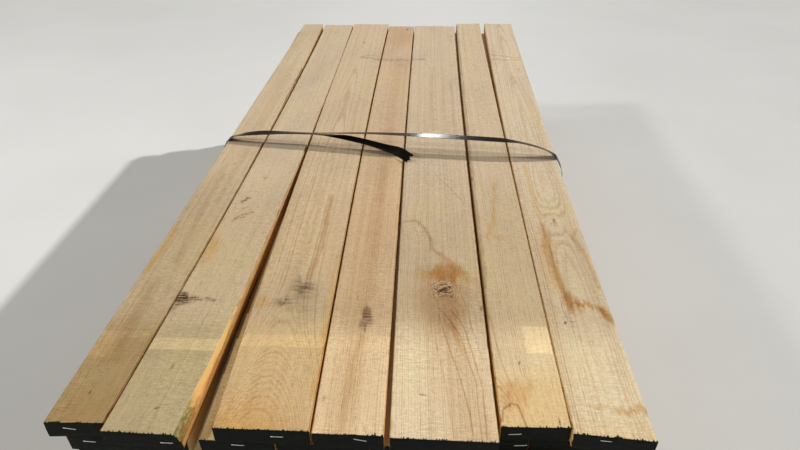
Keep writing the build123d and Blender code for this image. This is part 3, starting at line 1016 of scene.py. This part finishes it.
# The dark line that bends round at the near end of the sixth board
HOOP = ((269, -1190), (274, -1165), (289, -1148), (302, -1152), (307, -1168), (312, -1198))
look_6 = Look((207, 185, 154), (1.38, 1.42, 1.42), (-70, -60), 3, 0.8,
              (Bulge(-34, 290, -1270, 70, 130),), (
    Line(HONEY, 0.75, ((326, -340), (314, -470), (302, -550), (295, -593), (281, -614)), 13),
    Blot(HONEY, 0.45, 305, -612, 22, 14, 0.7),
    Line(SHADE, 0.6, ((267, -820), (264, -400), (263, 0), (264, 600), (267, 1200)), 11, 0.3),
    Line(SOOT, 0.6, ((262, -310), (264, -325)), 7, 0.6),
    Band(PALE, 0.95, 335, 389, -1020, -942, 1.5),
    Band(GREY, 0.16, 262, 335, -1060, -1002, 8),
    Line(BROWN, 1, HOOP, 5, 0.7),
    Line(GREY, 0.5, HOOP, 3, 0.7),
    Blot(RUST, 0.45, 303, -1124, 22, 28, 0.9),
    Line(RUST, 0.25, ((332, -1088), (322, -1140)), 15, 0.9),
    Line(RUST, 0.35, ((296, -1098), (279, -1155)), 13, 0.9),
    Band(HONEY, 0.5, 255, 400, -1300, -1085, 50),
    Blot(SOOT, 0.75, 317, -1047, 3, 5),
    Blot(SOOT, 0.75, 374, -1188, 2, 8),
))
look_7 = Look((213, 193, 165), (1.28, 1.33, 1.33), (8, -90), 3.2, 1,
              (Bulge(11, 470, -540, 34, 100),), (
    Blot(SOOT, 0.95, 470, -534, 3, 10),
    Line(HONEY, 0.6, ((426, -230), (430, -330), (430, -470), (433, -560)), 12, 0.9),
    Line(BROWN, 0.95, ((433, -560), (433, -668), (435, -730), (440, -788), (446, -837)), 20),
    Line(HONEY, 0.8, ((428, -600), (428, -700), (432, -800)), 34, 0.9),
    Blot(RUST, 0.85, 457, -868, 17, 30, 0.7, 12),
    Blot(BROWN, 0.8, 452, -856, 16, 26, 0.8, 10),
    Blot(GREY, 0.4, 437, -902, 9, 12, 0.8),
    Line(RUST, 0.85, ((462, -868), (482, -861), (504, -871), (517, -885), (530, -914)), 16),
    Line(RUST, 0.75, ((516, -880), (536, -925)), 20),
    Line(RUST, 0.5, ((520, -572), (504, -613), (521, -665), (524, -739), (528, -807)), 10),
    Blot(SOOT, 0.8, 430, -928, 4, 5),
    Blot(SOOT, 0.5, 446, -924, 8, 2),
    Line(RUST, 0.6, ((440, -1152), (468, -1152)), 9),
    Line(RUST, 0.7, ((485, -1158), (540, -1152)), 15),
    Line(RUST, 0.3, ((513, 300), (522, 150), (512, 30)), 12, 0.9),
    Line(GREY, 0.7, ((405, 722), (460, 714), (522, 712)), 12, 0.9),
    Line(GREY, 0.7, ((400, 780), (450, 760), (524, 740)), 12, 0.9),
    Blot(SOOT, 0.5, 505, 596, 4, 8),
    Band(HONEY, 0.35, 385, 550, -1260, -1190, 40),
))
looks = (look_1, look_2, look_3, look_4, look_5, look_6, look_7)
KNOTS = {5: (171, -828, 24, 26)}
for number, look in enumerate(looks, start=1):
    node = f"top_board_{number}"
    plan = top_board_plan(node)
    pith = Vector(look.pith) * MM
    points, quads, attributes = board_mesh(plan, TOP_FINISH, pith, number)
    wane = None
    if number == WANE_BOARD:
        wane = wane_plane(plan)
        points = cut_back(points, *wane)
    material = oak(f"oak_board_{number}", look, None, KNOTS.get(number), wane)
    piece = new_piece(f"board_{number}", (points, quads, attributes), material)
    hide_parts(node)

# Lower layers
LAYER_PITHS = ((-60, -160), (60, -50))
LAYER_FINISH = Finish(across=24 * MM, along=45 * MM, up=13 * MM, arris=1.6 * MM, chips=12 * MM)
# The lower layers' marks: painted light on the floor of the widest gap near its open end, and painted shade
# beside the second top board and along the rest of the gap
gap_floor_light_and_shade = (*(Band(tint, 1, -300, -240, -1240, -500, 30) for tint in (PALE, PALE, GAP_FLOOR_LIGHT)),
               *(Band(GAP_FLOOR_SHADE, 1, -290, right, near, far, 2) for right, near, far in
                 ((-283, -1060, -960), (-280, -960, -880), (-277, -880, -480))),
               Band(GAP_FLOOR_SHADE, 0.9, -290, -240, -480, 1300, 6))
layer_oak = oak("oak_layers", Look((208, 184, 150), None, None, 3.2, 1, (), gap_floor_light_and_shade), (180, 150, 108))
for layer in range(1, LAYERS + 1):
    node = f"layer_{layer:02d}"
    boards = []
    for place, plan in enumerate(layer_plans(node)):
        pith = Vector(dice.uniform(*LAYER_PITHS)) * MM
        points, quads, attributes = board_mesh(plan, LAYER_FINISH, pith, 10 * layer + place)
        attributes["tint"] = np.full(len(points), dice.uniform())
        boards.append((points, quads, attributes))
    piece = new_piece(f"boards_of_{node}", joined(boards), layer_oak)
    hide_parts(node)

# Bearers. Each is made as a board along Y and then turned to lie along X.
BEARER_PITHS = ((-20, 30), (20, 70))
BEARER_FINISH = Finish(across=9 * MM, along=15 * MM, up=9 * MM, arris=3 * MM, chips=22 * MM)
bearer_paint = bearer_wood()
for number in (1, 2, 3):
    low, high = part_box(f"bearer_{number}")
    half_width, half_length = (high.y - low.y) / 2, (high.x - low.x) / 2
    plan = Plan((-half_width, -half_length), (half_width, -half_length), (-half_width, half_length),
                (half_width, half_length), low.z, high.z)
    pith = Vector(dice.uniform(*BEARER_PITHS)) * MM
    points, quads, attributes = board_mesh(plan, BEARER_FINISH, pith, 200 + number)
    centre = (low + high) / 2
    points = np.stack([points[:, 1] + centre.x, centre.y - points[:, 0], points[:, 2]], axis=1)
    piece = new_piece(f"bearer_timber_{number}", (points, quads, attributes), bearer_paint)
    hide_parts(f"bearer_{number}")

# Strap and staples
piece = new_piece("steel_strap", strap_mesh(), strap_steel())
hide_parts("strap")
new_piece("staples", staples(), zinc())
